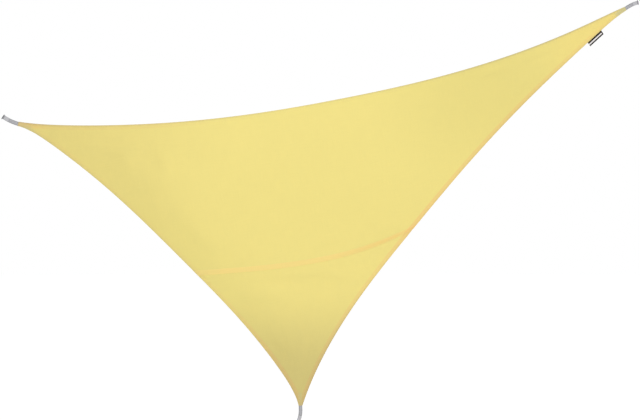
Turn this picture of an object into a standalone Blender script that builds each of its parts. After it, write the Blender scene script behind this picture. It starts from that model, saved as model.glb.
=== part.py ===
"""Triangular shade sail, stretched in an upright plane between three rings.

The front of the cloth faces -Y, X runs to the right and Z up. The origin is the middle of the
bar of the right-hand ring, the highest of the three, and all three bars lie on Y = 0. Two cloth
panels are lapped along one seam, all three edges are hemmed to the back, and a folded webbing
loop behind each corner holds a D-ring, which has swung back on its bar. Metres throughout.
"""
import math

import bpy

# ---- The cut of the sail -------------------------------------------------------------------
LONG_SIDE = 5.0
LEFT_SIDE = 3.0
RIGHT_SIDE = 4.0
LONG_SIDE_RISE = math.radians(9.95)      # slope of the long side, up to the right
CLOTH = 0.0012                           # one layer
HEM = 0.0024                             # two layers, the fold lying at the back
HEM_WIDTH = 0.030
HEM_STEP = 0.004                         # width of the slope from the hem down to one layer
HEMS_AT_MOST = 0.9                       # share of a row that its two side hems may take up
GAP = 0.0003                             # kept between touching pieces

# Each edge is drawn in from the straight line between its corners. depth is the deepest inward
# reach, fullness makes the curve flatter in the middle and steeper at its ends, lean moves the
# deepest place towards the start of the edge (above 0) or its end (below 0), and the pinches are
# how much more the pull of the webbing draws the cloth in near the start and near the end.
EDGES = {
    "top": {"depth": 0.273, "fullness": 2.34, "lean": -0.006, "pinch_start": 0.007, "pinch_end": -0.006},
    "left": {"depth": 0.157, "fullness": 3.07, "lean": -0.09, "pinch_start": 0.015, "pinch_end": 0.014},
    "right": {"depth": 0.210, "fullness": 2.82, "lean": -0.39, "pinch_start": 0.011, "pinch_end": 0.001},
}
PINCH_PLACE = 0.045                      # share of an edge between its end and the full pinch

# ---- The seam ------------------------------------------------------------------------------
SEAM_DEPTH = 1.291                       # from the long side's straight line, at both seam ends
SEAM_DIP = 0.100                         # how far the seam hangs below the line of its ends
SEAM_LEAN = -0.39                        # the lowest place lies this much towards the right
SEAM_LAP = 0.044
SEAM_BLEND = 0.060                       # the lower panel comes forward again over this width

# ---- Shape out of the plane ----------------------------------------------------------------
BELLY = 0.050                            # the cloth stands this far back in the middle
FLAT_TIP = 0.150                         # the corners stay flat this far from their cut ends
FULL_BELLY = 0.650                       # and the belly is whole beyond this distance
FOLD_FREE = 0.120                        # folds are whole this far in from the hemmed edges

# Tension folds that run out of a corner: bearing is the angle from the corner's own middle line,
# spread the fold's half angle, rise how far it stands back (or forward, below 0), and reach how
# far from the corner it dies out.
FOLDS = (
    {"corner": "left", "bearing": -6.0, "spread": 4.0, "rise": 0.006, "reach": 1.3},
    {"corner": "left", "bearing": 5.0, "spread": 4.0, "rise": -0.005, "reach": 1.0},
    {"corner": "right", "bearing": 3.5, "spread": 3.5, "rise": 0.007, "reach": 1.5},
    {"corner": "right", "bearing": -4.5, "spread": 3.0, "rise": -0.005, "reach": 1.1},
    {"corner": "low", "bearing": -14.0, "spread": 7.0, "rise": 0.007, "reach": 1.0},
    {"corner": "low", "bearing": 2.0, "spread": 6.0, "rise": -0.006, "reach": 0.8},
    {"corner": "low", "bearing": 15.0, "spread": 6.0, "rise": 0.008, "reach": 1.1},
)

# ---- Webbing loops and rings ---------------------------------------------------------------
WEB_WIDTH = 0.028
WEB_THICK = 0.0015
WEB_SEWN = 0.100                         # length behind the cloth
WEB_FREE = 0.121                         # length from the cloth's cut end to the ring's bar
WEB_NECK = 0.012                         # the two legs part this far before the bar
WEB_MARGIN = 0.0015                      # a corner's cut end is this much wider on each side
BEND_EASE = 1.5                          # above 1, the webbing bends more towards its ring
WIRE = 0.004
RING_INNER = 0.029                       # clear width inside a ring
RING_SIDE = 0.010                        # straight side between the bar's corner and the bow
RING_CORNER = 0.003                      # bend radius of the wire at the bar's ends

# The two legs of each loop lie either side of Y = 0, behind the double cloth of the corner.
CLOTH_FRONT = -(HEM + GAP + WEB_THICK + GAP / 2.0)

# Heading of each webbing loop, in degrees from +X towards +Z, at the cloth and at the ring. swing
# is how far the ring has turned on its bar, from in line with the webbing (0) to the back (90).
CORNERS = {
    "left": {"at_cloth": 163.0, "at_ring": 147.5, "swing": 102.0},
    "right": {"at_cloth": 30.5, "at_ring": 14.0, "swing": 54.0},
    "low": {"at_cloth": -86.0, "at_ring": -114.0, "swing": 89.0},
}

# ---- Label ---------------------------------------------------------------------------------
LABEL_LENGTH = 0.150
LABEL_WIDTH = 0.036                      # what stands out beyond the cloth's edge
LABEL_ROOT = 0.008                       # what is sewn behind the hem
LABEL_THICK = 0.0010
LABEL_FROM_TIP = 0.263                   # along the right edge, from the corner's cut end

# ---- Fineness of the meshes ----------------------------------------------------------------
CLOTH_COLUMNS = 20                       # between the two side hems
UPPER_ROWS = 12                          # between the top hem and the seam
LOWER_ROWS = 12                          # between the seam and the low corner
ROW_CROWDING = 1.4                       # above 1, the rows stand closer together at the corners
EDGE_SAMPLES = 80
WEB_STEPS = 9
SPINE_STEPS = 24
EYE_STEPS = 10
WIRE_SIDES = 10
BOW_STEPS = 14
CORNER_STEPS = 3


# ---- Plane geometry, with points as (x, z) ---------------------------------------------------
def add(p, q, scale=1.0):
    return (p[0] + scale * q[0], p[1] + scale * q[1])


def mix(p, q, t):
    return (p[0] + (q[0] - p[0]) * t, p[1] + (q[1] - p[1]) * t)


def dot(p, q):
    return p[0] * q[0] + p[1] * q[1]


def heading(angle):
    return (math.cos(angle), math.sin(angle))


def left_of(direction):
    return (-direction[1], direction[0])


def unit(p, q):
    length = math.dist(p, q)
    return ((q[0] - p[0]) / length, (q[1] - p[1]) / length)


def smooth(value, low, high):
    t = min(1.0, max(0.0, (value - low) / (high - low)))
    return t * t * (3.0 - 2.0 * t)


def webbing_spine(corner, distance):
    """Offset from a corner's cut end, and heading, at a distance along its webbing."""
    start = math.radians(CORNERS[corner]["at_cloth"])
    turn = math.radians(CORNERS[corner]["at_ring"]) - start
    bent = WEB_FREE - WEB_NECK
    inside = min(max(distance, 0.0), bent)
    place = (0.0, 0.0)
    for k in range(SPINE_STEPS):
        middle = inside * (k + 0.5) / SPINE_STEPS
        place = add(place, heading(start + turn * (middle / bent) ** BEND_EASE), inside / SPINE_STEPS)
    angle = start + turn * (inside / bent) ** BEND_EASE
    return add(place, heading(angle), distance - inside), angle


def corner_tips():
    """Middles of the three cut ends, placed so that the right ring's bar is at the origin."""
    bar, _ = webbing_spine("right", WEB_FREE)
    right = (-bar[0], -bar[1])
    left = add(right, heading(LONG_SIDE_RISE), -LONG_SIDE)
    at_left = math.acos(
        (LONG_SIDE**2 + LEFT_SIDE**2 - RIGHT_SIDE**2) / (2.0 * LONG_SIDE * LEFT_SIDE)
    )
    low = add(left, heading(LONG_SIDE_RISE - at_left), LEFT_SIDE)
    return {"left": left, "right": right, "low": low}


TIPS = corner_tips()


def cut_end(corner, side):
    """One end of a corner's cut: side is 1 to the left of the webbing's heading, -1 to its right."""
    across = left_of(heading(math.radians(CORNERS[corner]["at_cloth"])))
    return add(TIPS[corner], across, side * (WEB_WIDTH / 2.0 + WEB_MARGIN))


EDGE_ENDS = {
    "top": (cut_end("left", -1), cut_end("right", 1)),
    "left": (cut_end("left", 1), cut_end("low", -1)),
    "right": (cut_end("right", -1), cut_end("low", 1)),
}
MIDDLE = mix(TIPS["low"], mix(TIPS["left"], TIPS["right"], 0.5), 2.0 / 3.0)


def inward(start, end):
    across = left_of(unit(start, end))
    towards = (MIDDLE[0] - start[0], MIDDLE[1] - start[1])
    return across if dot(across, towards) > 0 else (-across[0], -across[1])


def bow(t, lean, fullness=2.0):
    """0 at both ends and 1 at the deepest place, which lean moves along."""
    shifted = t + lean * t * (1.0 - t)
    return 1.0 - abs(2.0 * shifted - 1.0) ** fullness


def pinch(t):
    """0 at an edge's end, 1 at the pinch's place, and fading out beyond it."""
    return t / PINCH_PLACE * math.exp(1.0 - t / PINCH_PLACE)


def drawn_in(edge, t):
    """How far an edge lies inside its straight line, at the share t of that line."""
    row = EDGES[edge]
    curve = bow(t, row["lean"], row["fullness"])
    return row["depth"] * curve + row["pinch_start"] * pinch(t) + row["pinch_end"] * pinch(1.0 - t)


def edge_point(edge, t):
    start, end = EDGE_ENDS[edge]
    return add(mix(start, end, t), inward(start, end), drawn_in(edge, t))


EDGE_LINES = {
    edge: [edge_point(edge, k / EDGE_SAMPLES) for k in range(EDGE_SAMPLES + 1)] for edge in EDGES
}


def distance_to(point, line):
    nearest = math.inf
    for a, b in zip(line, line[1:]):
        span = (b[0] - a[0], b[1] - a[1])
        t = min(1.0, max(0.0, dot((point[0] - a[0], point[1] - a[1]), span) / dot(span, span)))
        nearest = min(nearest, math.dist(point, mix(a, b, t)))
    return nearest


def edge_distances(point):
    return [distance_to(point, line) for line in EDGE_LINES.values()]


def share_at_depth(edge, depth):
    """Share along a side edge at which it is this deep below the long side's straight line."""
    down = inward(TIPS["left"], TIPS["right"])
    low, high = 0.0, 1.0
    for _ in range(40):
        t = (low + high) / 2.0
        point = edge_point(edge, t)
        if dot((point[0] - TIPS["left"][0], point[1] - TIPS["left"][1]), down) < depth:
            low = t
        else:
            high = t
    return low


SEAM_LEFT = share_at_depth("left", SEAM_DEPTH)
SEAM_RIGHT = share_at_depth("right", SEAM_DEPTH)


# ---- The cloth's grid ------------------------------------------------------------------------
# A level is 0 at the top hem's inner line, 1 at the middle of the seam and 2 at the low corner.
HALF_LAP = SEAM_LAP / 2.0 / SEAM_DEPTH
LAP_ROWS = 2


def row_point(level, t):
    """Point at the share t of the row that crosses the sail at a level."""
    upper = min(level, 1.0)
    lower = max(level - 1.0, 0.0)
    start = edge_point("left", SEAM_LEFT * upper + (1.0 - SEAM_LEFT) * lower)
    end = edge_point("right", SEAM_RIGHT * upper + (1.0 - SEAM_RIGHT) * lower)
    seam_dip = SEAM_DIP * bow(t, SEAM_LEAN)
    dip = (drawn_in("top", t) * (1.0 - upper) + seam_dip * upper) * (1.0 - lower)
    down = inward(TIPS["left"], TIPS["right"])
    return add(mix(start, end, t), down, dip)


def hem_shares(level):
    """Shares of a row at the inner line of the left hem and at the foot of its step, and so on
    for the right hem. Where the cloth is too narrow for both hems they close up on its middle."""
    probe = 0.01
    shares = []
    for edge, inside in (("left", probe), ("right", 1.0 - probe)):
        per_share = distance_to(row_point(level, inside), EDGE_LINES[edge]) / probe
        shares.append((HEM_WIDTH / per_share, (HEM_WIDTH + HEM_STEP) / per_share))
    (left_line, left_foot), (right_line, right_foot) = shares
    squeeze = min(1.0, HEMS_AT_MOST / (left_foot + right_foot))
    return (
        left_line * squeeze,
        left_foot * squeeze,
        1.0 - right_foot * squeeze,
        1.0 - right_line * squeeze,
    )


def row_shares(level):
    line_in, foot_in, foot_out, line_out = hem_shares(level)
    inner = [foot_in + (foot_out - foot_in) * k / CLOTH_COLUMNS for k in range(CLOTH_COLUMNS + 1)]
    return [0.0, line_in, *inner, line_out, 1.0]


def level_row(level):
    return [row_point(level, t) for t in row_shares(level)]


def top_row():
    return [edge_point("top", t) for t in row_shares(0.0)]


def upper_grid():
    """Rows of the upper panel: the cut edge, the hem, the field, and both sides of the lap."""
    foot = 2.0 * HEM_STEP / LEFT_SIDE
    span = 1.0 - HALF_LAP - foot
    levels = [0.0, foot]
    levels += [foot + span * (k / UPPER_ROWS) ** ROW_CROWDING for k in range(1, UPPER_ROWS + 1)]
    levels.append(1.0 + HALF_LAP)
    return [top_row()] + [level_row(level) for level in levels]


def lower_grid():
    """Rows of the lower panel: both sides of the lap, the blend forward, and the field."""
    blend = 1.0 + HALF_LAP + SEAM_BLEND / SEAM_DEPTH
    levels = [1.0 - HALF_LAP, 1.0 + HALF_LAP]
    levels += [2.0 - (2.0 - blend) * (k / LOWER_ROWS) ** ROW_CROWDING for k in range(LOWER_ROWS, -1, -1)]
    return [level_row(level) for level in levels]


# ---- Depth of the cloth ------------------------------------------------------------------------
def fold_rise(point):
    total = 0.0
    for row in FOLDS:
        tip = TIPS[row["corner"]]
        away = math.dist(point, tip)
        if away < FLAT_TIP or away > row["reach"]:
            continue
        back = heading(math.radians(CORNERS[row["corner"]]["at_cloth"]) + math.pi)
        offset = (point[0] - tip[0], point[1] - tip[1])
        bearing = math.degrees(math.atan2(dot(offset, left_of(back)), dot(offset, back)))
        across = math.exp(-(((bearing - row["bearing"]) / row["spread"]) ** 2))
        along = math.sin(math.pi * (away - FLAT_TIP) / (row["reach"] - FLAT_TIP))
        total += row["rise"] * across * along
    return total


BELLY_AT_MIDDLE = math.prod(edge_distances(MIDDLE))


def depth_at(point):
    """The Y of the cloth's front face."""
    distances = edge_distances(point)
    near = min(math.dist(point, tip) for tip in TIPS.values())
    belly = BELLY * math.prod(distances) / BELLY_AT_MIDDLE
    loose = smooth(min(distances), HEM_WIDTH + HEM_STEP, FOLD_FREE)
    return CLOTH_FRONT + belly * smooth(near, FLAT_TIP, FULL_BELLY) + fold_rise(point) * loose


def thickness_at(point):
    nearest = min(edge_distances(point))
    return HEM + (CLOTH - HEM) * smooth(nearest, HEM_WIDTH + 0.0002, HEM_WIDTH + 0.8 * HEM_STEP)


# ---- Solids --------------------------------------------------------------------------------------
def add_object(name, vertices, faces, material, smooth_shading=True):
    mesh = bpy.data.meshes.new(name)
    mesh.from_pydata(vertices, [], faces)
    mesh.validate()
    mesh.materials.append(material)
    if smooth_shading:
        mesh.shade_smooth()
        mesh.set_sharp_from_angle(angle=math.radians(35.0))
    piece = bpy.data.objects.new(name, mesh)
    bpy.context.scene.collection.objects.link(piece)
    return piece


def sheet_solid(name, rows, front_faces, material):
    """A closed sheet over a grid of (x, z) points, from the given front depths back to its own
    thickness."""
    count_rows, count_columns = len(rows), len(rows[0])
    front, back = [], []
    for row, depths in zip(rows, front_faces):
        for (x, z), y in zip(row, depths):
            front.append((x, y, z))
            back.append((x, y + thickness_at((x, z)), z))
    total = len(front)

    def at(i, j):
        return i * count_columns + j

    faces = []
    for i in range(count_rows - 1):
        for j in range(count_columns - 1):
            a, b, c, d = at(i, j), at(i, j + 1), at(i + 1, j + 1), at(i + 1, j)
            faces += [(a, d, c), (a, c, b)]
            faces += [(total + a, total + c, total + d), (total + a, total + b, total + c)]
    rim = [at(0, j) for j in range(count_columns - 1)]
    rim += [at(i, count_columns - 1) for i in range(count_rows - 1)]
    rim += [at(count_rows - 1, j) for j in range(count_columns - 1, 0, -1)]
    rim += [at(i, 0) for i in range(count_rows - 1, 0, -1)]
    for a, b in zip(rim, rim[1:] + rim[:1]):
        faces += [(a, b, total + b), (a, total + b, total + a)]
    return add_object(name, front + back, faces, material)


def build_panels(cloth):
    upper = upper_grid()
    sheet_solid("panel_upper", upper, [[depth_at(p) for p in row] for row in upper], cloth)

    lower = lower_grid()
    depths = []
    for k, row in enumerate(lower):
        lapped = k < LAP_ROWS
        depths.append([depth_at(p) + (thickness_at(p) + GAP if lapped else 0.0) for p in row])
    sheet_solid("panel_lower", lower, depths, cloth)


def webbing_path():
    """The loop's middle line as (distance along the webbing, depth), from the end of its front
    leg, round the ring's bar and back."""
    leg = (GAP + WEB_THICK) / 2.0
    radius = WIRE / 2.0 + GAP + WEB_THICK / 2.0
    reach = math.hypot(WEB_NECK, leg)
    lift = math.asin(radius / reach) - math.atan2(leg, WEB_NECK)
    front = [(-WEB_SEWN, -leg), (0.0, -leg)]
    neck = WEB_FREE - WEB_NECK
    front += [(neck * k / WEB_STEPS, -leg) for k in range(1, WEB_STEPS + 1)]
    sweep = math.pi / 2.0 + lift
    eye = []
    for k in range(EYE_STEPS + 1):
        angle = -sweep + 2.0 * sweep * k / EYE_STEPS
        eye.append((WEB_FREE + radius * math.cos(angle), radius * math.sin(angle)))
    back = [(distance, -depth) for distance, depth in reversed(front)]
    return front + eye + back


def build_webbing(corner, webbing):
    path = webbing_path()
    vertices = []
    for k, (distance, depth) in enumerate(path):
        before, after = path[max(k - 1, 0)], path[min(k + 1, len(path) - 1)]
        along = unit(before, after)
        normal = left_of(along)
        joined = unit(path[k - 1], path[k]) if k else along
        stretch = 1.0 / max(0.7, dot(joined, along))
        for half in (-0.5, 0.5):
            place = add((distance, depth), normal, half * WEB_THICK * stretch)
            offset, angle = webbing_spine(corner, place[0])
            across = left_of(heading(angle))
            for side in (-0.5, 0.5):
                x, z = add(add(TIPS[corner], offset), across, side * WEB_WIDTH)
                vertices.append((x, place[1], z))
    # Each station is outer-right, outer-left, inner-right, inner-left of the loop.
    order = (0, 2, 3, 1)
    faces = []
    for k in range(len(path) - 1):
        for m in range(4):
            a = 4 * k + order[m]
            b = 4 * k + order[(m + 1) % 4]
            faces.append((a, b, b + 4, a + 4))
    last = 4 * (len(path) - 1)
    faces.append(tuple(order[m] for m in (3, 2, 1, 0)))
    faces.append(tuple(last + order[m] for m in range(4)))
    return add_object(f"strap_{corner}", vertices, faces, webbing)


def ring_path():
    """The wire's middle line in the ring's own plane, as (away from the bar, along the bar)."""
    half = (RING_INNER + WIRE) / 2.0
    inset = half - RING_CORNER
    quarter = math.pi / 2.0
    # Each arc: middle along, middle across, radius, first angle, sweep, steps.
    arcs = (
        (RING_CORNER, -inset, RING_CORNER, 2.0 * quarter, quarter, CORNER_STEPS),
        (RING_CORNER + RING_SIDE, 0.0, half, -quarter, 2.0 * quarter, BOW_STEPS),
        (RING_CORNER, inset, RING_CORNER, quarter, quarter, CORNER_STEPS),
    )
    path = []
    for along, across, radius, first, sweep, steps in arcs:
        for k in range(steps + 1):
            angle = first + sweep * k / steps
            path.append((along + radius * math.cos(angle), across + radius * math.sin(angle)))
    return path


def build_ring(corner, steel):
    path = ring_path()
    offset, angle = webbing_spine(corner, WEB_FREE)
    forward, across = heading(angle), left_of(heading(angle))
    bar = add(TIPS[corner], offset)
    swing = math.radians(CORNERS[corner]["swing"])
    ahead, behind = math.cos(swing), math.sin(swing)
    vertices = []
    count = len(path)
    for k, point in enumerate(path):
        arriving = unit(path[k - 1], point)
        leaving = unit(point, path[(k + 1) % count])
        along = unit((0.0, 0.0), add(arriving, leaving))
        normal = left_of(along)
        stretch = 1.0 / dot(arriving, along)
        for m in range(WIRE_SIDES):
            turn = 2.0 * math.pi * m / WIRE_SIDES
            in_plane = WIRE / 2.0 * math.cos(turn) * stretch
            out_of_plane = WIRE / 2.0 * math.sin(turn)
            place = add(point, normal, in_plane)
            x, z = add(add(bar, forward, place[0] * ahead - out_of_plane * behind), across, place[1])
            vertices.append((x, place[0] * behind + out_of_plane * ahead, z))
    faces = []
    for k in range(count):
        following = (k + 1) % count
        for m in range(WIRE_SIDES):
            n = (m + 1) % WIRE_SIDES
            a, b = k * WIRE_SIDES + m, k * WIRE_SIDES + n
            c, d = following * WIRE_SIDES + n, following * WIRE_SIDES + m
            faces.append((a, d, c, b))
    return add_object(f"ring_{corner}", vertices, faces, steel)


def build_label(tape):
    """A folded tape sewn behind the right hem, standing out past the cloth's edge."""
    start, end = EDGE_ENDS["right"]
    length = math.dist(start, end)
    near = edge_point("right", LABEL_FROM_TIP / length)
    far = edge_point("right", (LABEL_FROM_TIP + LABEL_LENGTH) / length)
    along = unit(near, far)
    into_cloth = inward(start, end)
    into_cloth = add(into_cloth, along, -dot(into_cloth, along))
    into_cloth = unit((0.0, 0.0), into_cloth)
    hem_line = [add(add(near, along, distance), into_cloth, HEM_WIDTH) for distance in (0.0, LABEL_LENGTH)]
    low = max(depth_at(point) for point in hem_line) + HEM + GAP
    corners = []
    for distance, reach in ((0.0, LABEL_ROOT), (LABEL_LENGTH, LABEL_ROOT),
                            (LABEL_LENGTH, -LABEL_WIDTH), (0.0, -LABEL_WIDTH)):
        corners.append(add(add(near, along, distance), into_cloth, reach))
    vertices = [(x, y, z) for y in (low, low + LABEL_THICK) for x, z in corners]
    faces = [(0, 1, 2, 3), (7, 6, 5, 4)]
    faces += [(b, a, a + 4, b + 4) for a, b in ((0, 1), (1, 2), (2, 3), (3, 0))]
    return add_object("label", vertices, faces, tape, smooth_shading=False)


def make_material(name, color, roughness, metallic=0.0):
    material = bpy.data.materials.new(name)
    material.use_nodes = True
    shader = material.node_tree.nodes["Principled BSDF"]
    shader.inputs["Base Color"].default_value = (*color, 1.0)
    shader.inputs["Roughness"].default_value = roughness
    shader.inputs["Metallic"].default_value = metallic
    return material


def main():
    for leftover in list(bpy.data.objects):
        bpy.data.objects.remove(leftover, do_unlink=True)
    cloth = make_material("cloth", (0.87, 0.75, 0.25), 0.85)
    webbing = make_material("webbing", (0.33, 0.33, 0.35), 0.8)
    steel = make_material("steel", (0.62, 0.62, 0.64), 0.3, metallic=1.0)
    tape = make_material("tape", (0.80, 0.80, 0.78), 0.7)
    build_panels(cloth)
    for corner in CORNERS:
        build_webbing(corner, webbing)
        build_ring(corner, steel)
    build_label(tape)


main()
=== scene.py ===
"""Looks for a triangular shade sail, stretched upright between three rings.

The front of the cloth faces -Y, X runs to the right and Z up. The cloth panels, the sewing, the
webbing loops, the rings and the flag label are built here over the sail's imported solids.
"""
import math

import bpy
import numpy as np
from bpy.props import FloatProperty, FloatVectorProperty, IntProperty, PointerProperty
from bpy.types import Operator, Panel, PropertyGroup
from mathutils import Matrix, Vector


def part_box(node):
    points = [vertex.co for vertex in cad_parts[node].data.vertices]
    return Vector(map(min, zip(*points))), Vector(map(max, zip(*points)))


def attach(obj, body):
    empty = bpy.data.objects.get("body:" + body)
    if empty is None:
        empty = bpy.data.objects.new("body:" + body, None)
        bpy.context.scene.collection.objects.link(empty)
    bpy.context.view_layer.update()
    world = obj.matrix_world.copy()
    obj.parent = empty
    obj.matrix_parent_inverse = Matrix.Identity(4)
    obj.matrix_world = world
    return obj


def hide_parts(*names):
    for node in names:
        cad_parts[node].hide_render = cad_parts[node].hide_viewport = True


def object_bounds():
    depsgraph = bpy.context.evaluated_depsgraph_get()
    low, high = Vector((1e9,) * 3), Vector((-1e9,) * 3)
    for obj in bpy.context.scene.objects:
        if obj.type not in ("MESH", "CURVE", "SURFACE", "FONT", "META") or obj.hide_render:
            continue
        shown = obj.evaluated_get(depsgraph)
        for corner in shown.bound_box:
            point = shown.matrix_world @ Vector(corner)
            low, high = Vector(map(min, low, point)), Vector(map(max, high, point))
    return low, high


bl_info = {
    "name": "Triangular Shade Sail",
    "version": (1, 0, 0),
    "blender": (4, 5, 0),
    "location": "3D View > Sidebar > Shade Sail",
    "description": "Cloth, sewing, webbing, rings and label of a stretched triangular shade sail",
    "category": "Add Mesh",
}

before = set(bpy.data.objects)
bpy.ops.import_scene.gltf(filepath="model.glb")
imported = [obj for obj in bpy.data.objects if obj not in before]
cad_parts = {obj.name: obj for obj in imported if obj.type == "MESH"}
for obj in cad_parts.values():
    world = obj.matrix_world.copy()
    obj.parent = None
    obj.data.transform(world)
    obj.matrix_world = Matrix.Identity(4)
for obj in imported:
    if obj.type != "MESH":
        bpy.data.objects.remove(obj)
CAD_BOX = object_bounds()

# ---- The cut of the sail, as its solids have it
LONG_SIDE = 5.0
LEFT_SIDE = 3.0
RIGHT_SIDE = 4.0
LONG_SIDE_RISE = math.radians(9.95)
CLOTH = 0.0012
HEM = 0.0024
HEM_WIDTH = 0.030
HEM_STEP = 0.0008
GAP = 0.0003
HEMS_AT_MOST = 0.9
PINCH_PLACE = 0.045
# Each edge: the depth and fullness of its curve, its lean, and the pinch beside its two ends.
EDGES = {
    "top": (0.273, 2.34, -0.006, 0.007, -0.006),
    "left": (0.157, 3.07, -0.09, 0.015, 0.014),
    "right": (0.210, 2.82, -0.39, 0.011, 0.001),
}
EDGE_SAMPLES = 240
SEAM_DEPTH = 1.291
SEAM_DIP = 0.100
SEAM_LEAN = -0.39
SEAM_LAP = 0.044
SEAM_BLEND = 0.060
HALF_LAP = SEAM_LAP / 2.0 / SEAM_DEPTH
BELLY = 0.050
FLAT_TIP = 0.150
FULL_BELLY = 0.650
FOLD_FREE = 0.120
FOLD_FROM = 0.034
# Folds that fan out of a corner: their bearing and spread in degrees, their rise and their reach.
FOLDS = (
    ("left", -6.0, 4.0, 0.006, 1.3),
    ("left", 5.0, 4.0, -0.005, 1.0),
    ("right", 3.5, 3.5, 0.007, 1.5),
    ("right", -4.5, 3.0, -0.005, 1.1),
    ("low", -14.0, 7.0, 0.007, 1.0),
    ("low", 2.0, 6.0, -0.006, 0.8),
    ("low", 15.0, 6.0, 0.008, 1.1),
)
WEB_WIDTH = 0.028
WEB_THICK = 0.0015
WEB_SEWN = 0.100
WEB_FREE = 0.121
WEB_NECK = 0.012
WEB_MARGIN = 0.0015
BEND_EASE = 1.5
SPINE_STEPS = 24
WIRE = 0.004
RING_INNER = 0.029
RING_SIDE = 0.010
RING_CORNER = 0.003
WEB_BACK = GAP / 2.0 + WEB_THICK
CLOTH_FRONT = -(HEM + GAP + WEB_THICK + GAP / 2.0)
CORNERS = {
    "left": {"at_cloth": 163.0, "at_ring": 147.5, "swing": 102.0},
    "right": {"at_cloth": 30.5, "at_ring": 14.0, "swing": 54.0},
    "low": {"at_cloth": -86.0, "at_ring": -114.0, "swing": 89.0},
}
LABEL_LENGTH = 0.150
LABEL_WIDTH = 0.036
LABEL_ROOT = 0.008
LABEL_THICK = 0.0010
LABEL_FROM_TIP = 0.263

# ---- Sewing and fine shape
HEM_ROWS_AT = (0.005, 0.025)             # the two rows of stitches, from the cloth's edge
LAP_ROWS_AT = (0.005, 0.039)             # and those of the seam, from the upper panel's edge
SEWN_SHARES = (0.004, 0.996)             # an edge and the seam are sewn from and to these shares
ROW_SLACK = 0.0012                       # a row stops where another edge is this much nearer
HEM_LINES = (0.0, 0.0004, 0.0012, 0.0038, 0.0050, 0.0062, 0.012, 0.018,
             0.0238, 0.0250, 0.0262, 0.0290, 0.0300, 0.0308, 0.034, 0.040, 0.050)
LAP_LINES = (0.0, 0.0004, 0.0012, 0.0038, 0.0050, 0.0062, 0.011, 0.016, 0.022, 0.028, 0.033,
             0.0378, 0.0390, 0.0402, 0.0436, 0.0444, 0.050, 0.059)
BELOW_LAP_LINES = (0.004, 0.010, 0.020, 0.032, 0.046, SEAM_BLEND)
LAP_ROWS = 6                             # rows of the lower panel behind the lap
ROWS_CROWD = 1.25                        # the rows lie closer beside the top hem and the lap
FOLD_RADIUS = 0.0012
FOLD_TURN = 0.85                         # share of a full half round that a folded edge has
TURNED_AT_MOST = 0.4                     # share of the thickness that an edge turns in, each side
STITCH_DIP = 0.00022
STITCH_DIP_WIDTH = 0.0011
STITCH_REACH = 0.42                      # most of the pitch that half a stitch takes
THREAD_SUNK = 0.0001
RELIEF_FREE = 0.090                      # the slow waves and creases are whole this far inside
RELIEF_FROM_TIP = 0.45                   # and this far from a corner's cut end
PUCKERS_FROM_TIP = 0.30                  # the puckers are whole this far from it
PUCKER_START = 0.025
PUCKER_REACH = 0.085
LEGS_SEWN = 0.072                        # a loop's legs are sewn together this far past the cloth
SEWN_FADE = 0.006
SHADED_BEFORE_BAR = 0.004                  # painted shade darkens a loop from here on round its ring's bar
SELVEDGE = (0.78, 0.98)                  # shares of half the webbing's width where it darkens
SEALED_END = (0.001, 0.003)
CORNER_BOX = (0.010, 0.090, 0.0105)      # a corner's box of stitches: near, far and half width
CORNER_BARS = (0.006, 0.094)
CORNER_THREAD_SCALE = 0.85
BAR_INSET = 0.0088                       # the dark rows on a loop's legs, from its middle line
BAR_ROW_GAP = 0.0011
BAR_ROWS_FROM = 0.006
BAR_THREAD_SCALE = 0.8
WELD_RISE = 0.14
WELD_PLACE = 0.006
WELD_WIDTH = 0.0016
LABEL_LAYER = 0.00042
# Widths of the label's dark bands: beside the hem, beside its fold and at its end near the tip,
# and of the woven change from a band to the field.
LABEL_BANDS = {"hem": 0.0145, "fold": 0.0110, "end": 0.0090}
BAND_EDGE = 0.0003
LINES_APART = 0.0008

# ---- Tones of the cloth, as (share of an edge or of the seam, strength)
# The tint of the doubled cloth, painted light through its two layers, and the shade of the outer fold. The
# top and left edges start at the left corner, and the right edge at the right corner.
HEM_TONES = {
    "top": {
        "doubled": ((0.0, 0.9), (0.02, 0.6), (0.05, 0.25), (0.2, 0.2), (0.3, 0.0), (1.0, 0.0)),
        "fold": ((0.0, 1.1), (0.03, 1.0), (0.06, 0.7), (0.15, 0.6), (0.28, 0.7), (0.42, 0.4),
                 (0.58, 0.7), (0.72, 0.9), (0.85, 1.25), (1.0, 1.1)),
    },
    "left": {
        "doubled": ((0.0, 0.05), (0.15, 0.15), (0.3, 0.05), (0.45, 0.12), (0.6, 0.15), (0.72, 0.25),
                    (0.85, 0.6), (0.95, 0.6), (1.0, 0.6)),
        "fold": ((0.0, 1.0), (0.03, 0.9), (0.07, 0.6), (0.2, 0.5), (0.4, 0.4), (0.58, 0.5),
                 (0.72, 0.35), (0.85, 0.2), (0.95, 0.4), (1.0, 0.5)),
    },
    "right": {
        "doubled": ((0.0, 0.1), (0.1, 0.25), (0.2, 0.45), (0.3, 0.65), (0.45, 0.55), (0.58, 0.8),
                    (0.72, 0.43), (0.85, 0.5), (0.95, 0.65), (1.0, 0.65)),
        "fold": ((0.0, 0.6), (0.15, 0.5), (0.3, 0.45), (0.45, 0.45), (0.58, 0.25), (0.72, 0.4),
                 (0.85, 0.95), (0.95, 0.6), (1.0, 0.6)),
    },
}
HEM_TINT_FADE = 0.004
FOLD_SHADE_WIDTH = 0.011
FOLD_SHADE = 0.75
# How strongly the lap's colour shows and how deep it is, from the seam's left end.
# The lap's deeper orange is painted light through its two layers of cloth.
SEAM_TONES = {
    "shown": ((0.0, 0.5), (0.12, 1.0), (0.9, 1.0), (1.0, 0.7)),
    "deep": ((0.0, 0.5), (0.12, 0.3), (0.25, 0.0), (0.5, 0.0), (0.65, 0.22), (0.8, 0.7), (1.0, 1.0)),
}
LAP_CORE = 0.015                         # half width of the lap's deepest coloured middle
LAP_COLOUR_EDGE = 0.0005
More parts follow.
